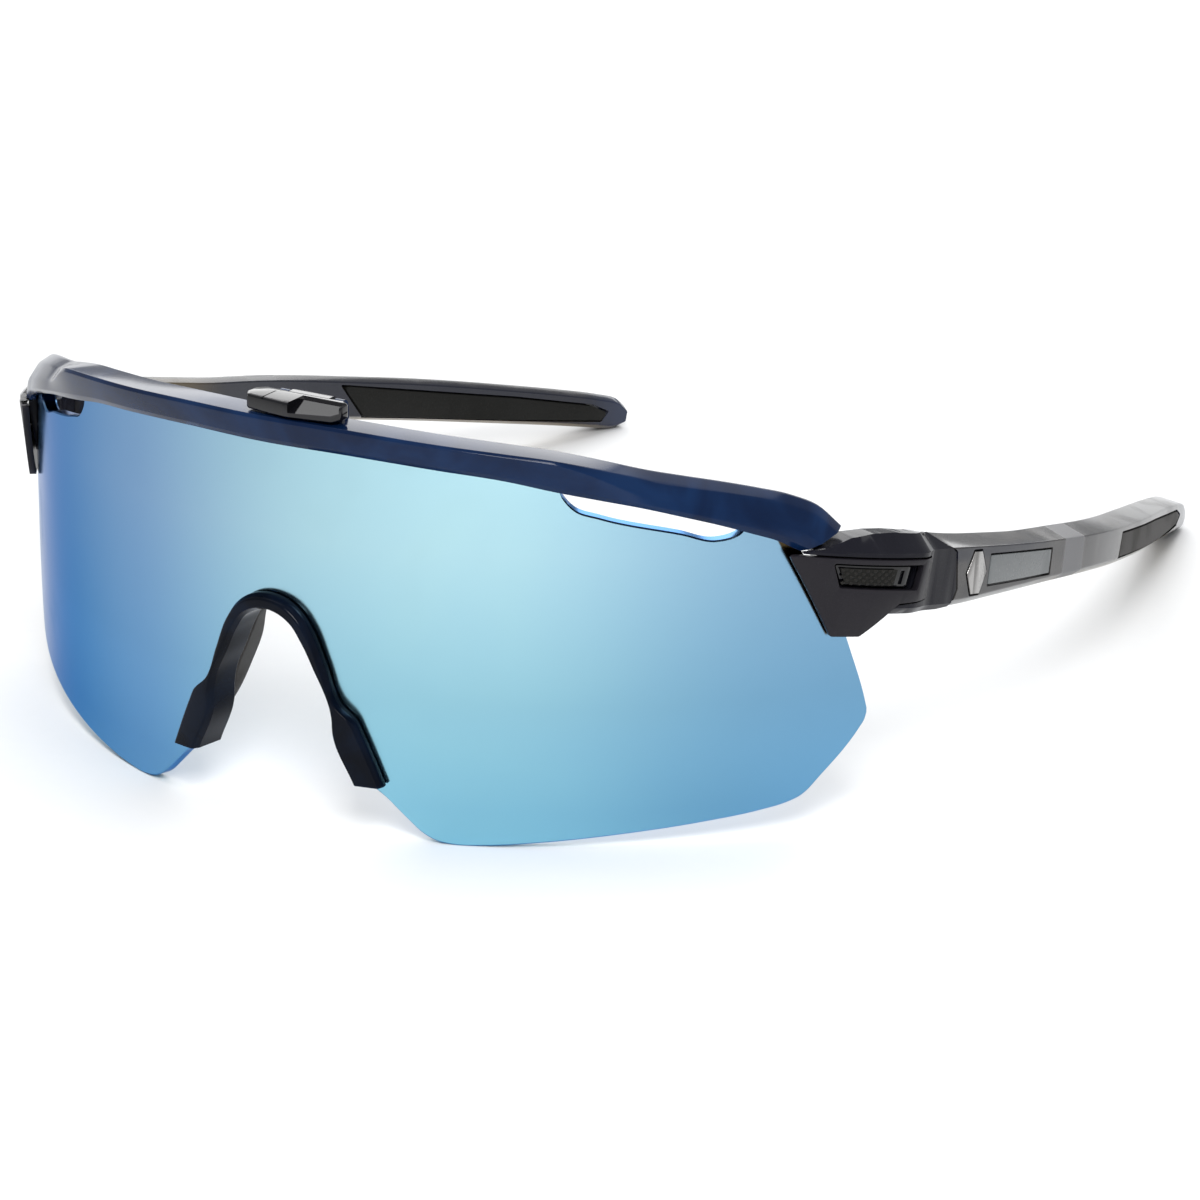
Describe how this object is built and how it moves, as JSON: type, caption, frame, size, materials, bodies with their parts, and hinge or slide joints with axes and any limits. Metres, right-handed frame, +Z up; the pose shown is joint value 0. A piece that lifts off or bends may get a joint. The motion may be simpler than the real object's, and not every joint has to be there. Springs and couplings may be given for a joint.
{
  "type": "sport sunglasses",
  "caption": "Wraparound sport sunglasses: mirrored shield lens under a browline bar with vents, snap-in nose piece with soft pads, and folding temples with rubber grips.",
  "frame": {"origin": "centre of the bounding box's bottom face, on the table the glasses stand on", "axes": "+Z up from the table; +X towards the wearer's left; -Y out of the front of the lens; the temples run towards +Y"},
  "size_m": [0.1486, 0.1795, 0.0616],
  "materials": {
    "frame_navy": "polished translucent navy nylon",
    "frame_smoke": "polished translucent smoke-blue nylon",
    "black_satin": "fine satin moulded black nylon",
    "latch_black": "polished black nylon",
    "lens_mirror": "light-blue mirror coating on brown polycarbonate",
    "rubber": "matte soft-touch elastomer",
    "steel": "turned stainless steel",
    "badge_metal": "brushed metal plate",
    "inlay": "smooth grey-green translucent insert"
  },
  "bodies": {
    "front": {"brow_frame": "frame_navy", "lens": "lens_mirror", "nose_clip": "frame_navy", "latch_pin": "steel", "nose_pad_left": "rubber", "nose_pad_right": "rubber", "end_block_left": "frame_smoke", "end_block_right": "frame_smoke", "side_wing_left": "black_satin", "side_wing_right": "black_satin", "hinge_screw_left": "steel", "hinge_screw_right": "steel"},
    "latch": {"centre_latch": "latch_black"},
    "temple_left": {"temple_arm_left": "frame_smoke", "temple_badge_left": "badge_metal", "temple_inlay_left": "inlay", "outer_grip_left": "rubber", "inner_grip_left": "rubber"},
    "lock_left": {"lock_slider_left": "black_satin", "lock_grip_left": "rubber"},
    "temple_right": {"temple_arm_right": "frame_smoke", "temple_badge_right": "badge_metal", "temple_inlay_right": "inlay", "outer_grip_right": "rubber", "inner_grip_right": "rubber"},
    "lock_right": {"lock_slider_right": "black_satin", "lock_grip_right": "rubber"}
  },
  "joints": [
    {"name": "latch_hinge", "type": "hinge", "parent": "front", "child": "latch", "pos_m": [0.00455, -0.0831, 0.0601], "axis": [-1, 0, 0], "range_deg": [0, 60]},
    {"name": "temple_hinge_left", "type": "hinge", "parent": "front", "child": "temple_left", "pos_m": [0.0696, -0.03525, 0.03558], "axis": [0, 0.2351, 0.972], "range_deg": [0, 86]},
    {"name": "lock_slide_left", "type": "slide", "parent": "front", "child": "lock_left", "axis": [0.4192, 0.8825, -0.2135], "range_m": [0, 0.0014]},
    {"name": "temple_hinge_right", "type": "hinge", "parent": "front", "child": "temple_right", "pos_m": [-0.0696, -0.03525, 0.03558], "axis": [0, -0.2351, -0.972], "range_deg": [0, 76]},
    {"name": "lock_slide_right", "type": "slide", "parent": "front", "child": "lock_right", "axis": [-0.4192, 0.8825, -0.2135], "range_m": [0, 0.0014]}
  ]
}
